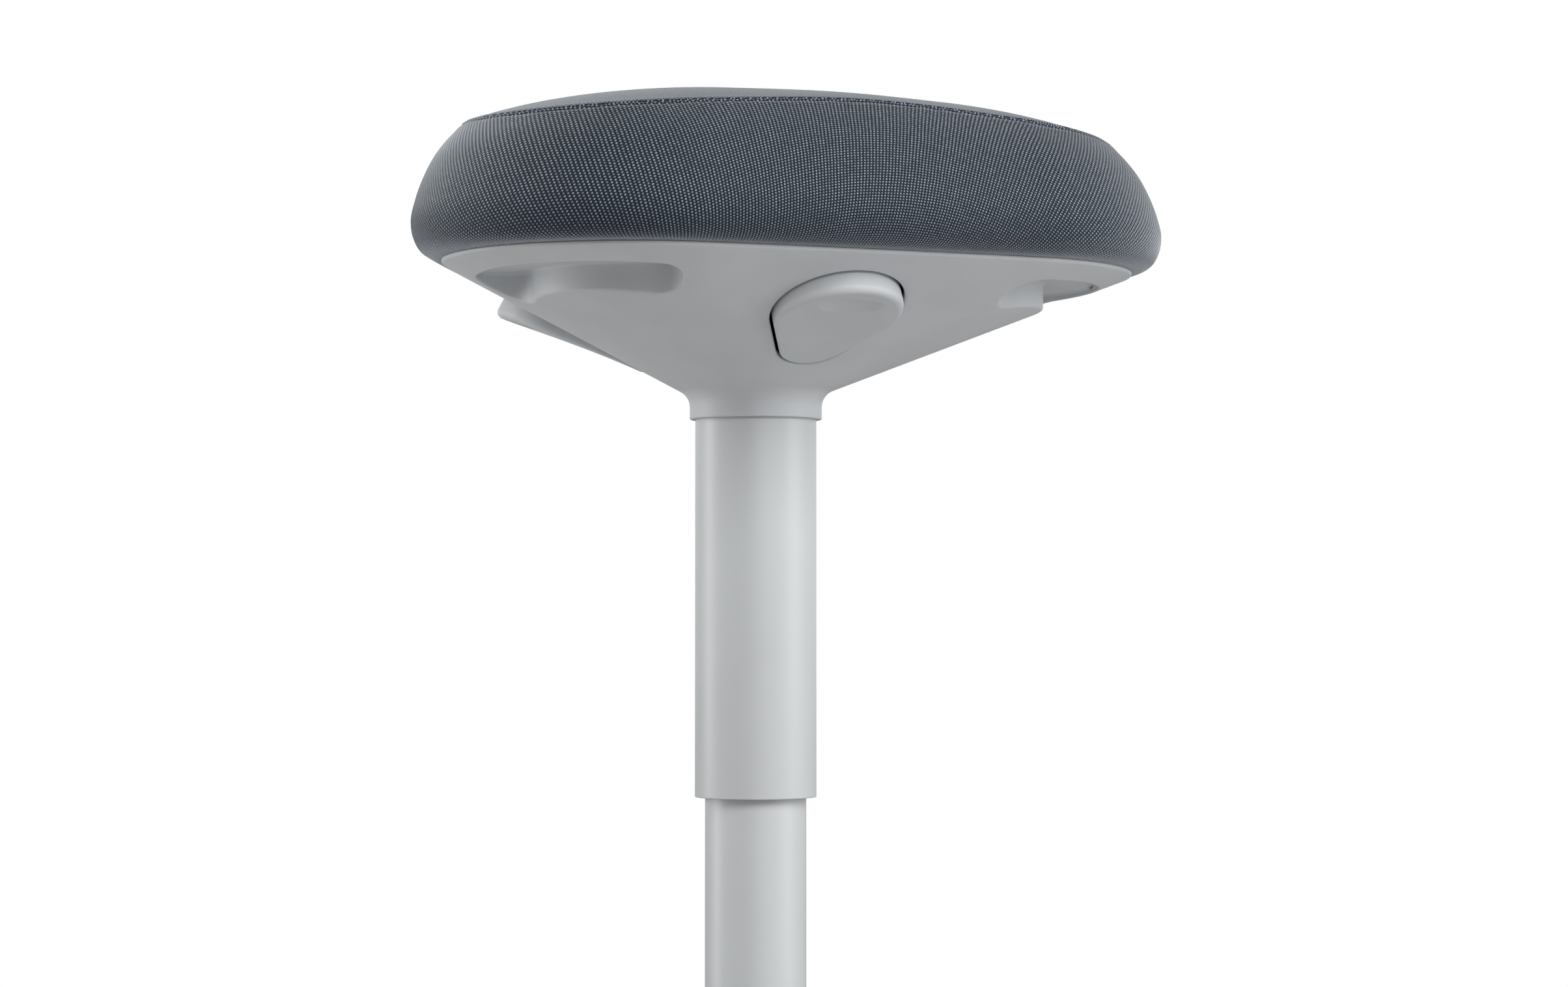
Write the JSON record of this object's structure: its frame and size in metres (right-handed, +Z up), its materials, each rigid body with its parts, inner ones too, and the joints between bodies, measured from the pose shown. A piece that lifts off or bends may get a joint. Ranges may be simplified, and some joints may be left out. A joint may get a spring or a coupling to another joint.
{
  "type": "perch stool",
  "caption": "Height-adjustable perch stool: rounded three-cornered upholstered seat on a telescopic gas-lift column and a round weighted foot, with release paddles in the seat's sides.",
  "frame": {"origin": "middle of the foot, on the floor", "axes": "+Z up along the column, -Y the way one flat side of the seat faces, +Y the way one corner points"},
  "size_m": [0.41, 0.41, 0.6824],
  "materials": {
    "seat_fabric": "matte",
    "foam": "matte",
    "shell_plastic": "satin",
    "column_paint": "satin",
    "base_paint": "satin",
    "plywood": "matte",
    "cast_alloy": "satin",
    "raw_steel": "satin",
    "zinc_steel": "satin",
    "ground_steel": "polished",
    "black_plastic": "matte",
    "black_paint": "satin",
    "foot_rubber": "matte"
  },
  "bodies": {
    "base": {"foot_ring": "foot_rubber", "base_weight": "raw_steel", "column_socket": "raw_steel", "base_screws": "zinc_steel", "base_cover": "base_paint", "stand_tube": "column_paint", "end_plate": "raw_steel", "bearing_washer_low": "ground_steel", "guide_bush": "black_plastic"},
    "rod": {"piston_rod": "ground_steel", "piston": "ground_steel", "rod_clip": "ground_steel", "rubber_buffer": "foot_rubber", "bearing_washer_high": "ground_steel", "bearing_cage": "black_plastic", "bearing_balls": "ground_steel"},
    "seat": {"gas_cylinder": "black_paint", "rod_guide": "black_plastic", "cover_tube": "column_paint", "glide_ring": "black_plastic", "seat_shell": "shell_plastic", "seat_cradle": "cast_alloy", "board_screws": "zinc_steel", "shell_screws": "zinc_steel", "seat_board": "plywood", "foam_pad": "foam", "cover_band": "seat_fabric", "cover_top": "seat_fabric", "paddle_pin_a": "ground_steel", "paddle_pin_b": "ground_steel", "paddle_pin_c": "ground_steel"},
    "paddle_a": {"paddle_a": "shell_plastic"},
    "paddle_b": {"paddle_b": "shell_plastic"},
    "paddle_c": {"paddle_c": "shell_plastic"},
    "release": {"release_spool": "ground_steel"}
  },
  "joints": [
    {"name": "seat_swivel", "type": "hinge", "parent": "base", "child": "rod", "pos_m": [0, 0, 0.018], "axis": [0, 0, 1], "continuous": true},
    {"name": "height_slide", "type": "slide", "parent": "rod", "child": "seat", "axis": [0, 0, 1], "range_m": [-0.085, 0.085]},
    {"name": "paddle_a_press", "type": "hinge", "parent": "seat", "child": "paddle_a", "pos_m": [0, -0.05, 0.561], "axis": [-1, 0, 0], "range_deg": [0, 3.2], "stiffness_Nm_per_rad": 3, "springref_deg": -5.73},
    {"name": "paddle_b_press", "type": "hinge", "parent": "seat", "child": "paddle_b", "pos_m": [0.0433, 0.025, 0.561], "axis": [0.5, -0.866, 0], "range_deg": [0, 3.2]},
    {"name": "paddle_c_press", "type": "hinge", "parent": "seat", "child": "paddle_c", "pos_m": [-0.0433, 0.025, 0.561], "axis": [0.5, 0.866, 0], "range_deg": [0, 3.2]},
    {"name": "release_slide", "type": "slide", "parent": "seat", "child": "release", "axis": [0, 0, 1], "range_m": [-0.0025, 0]}
  ],
  "couplings": [
    {"joint": "paddle_b_press", "follows": "paddle_a_press", "ratio": 1},
    {"joint": "paddle_c_press", "follows": "paddle_a_press", "ratio": 1},
    {"joint": "release_slide", "follows": "paddle_a_press", "m_per_rad": -0.04075}
  ]
}
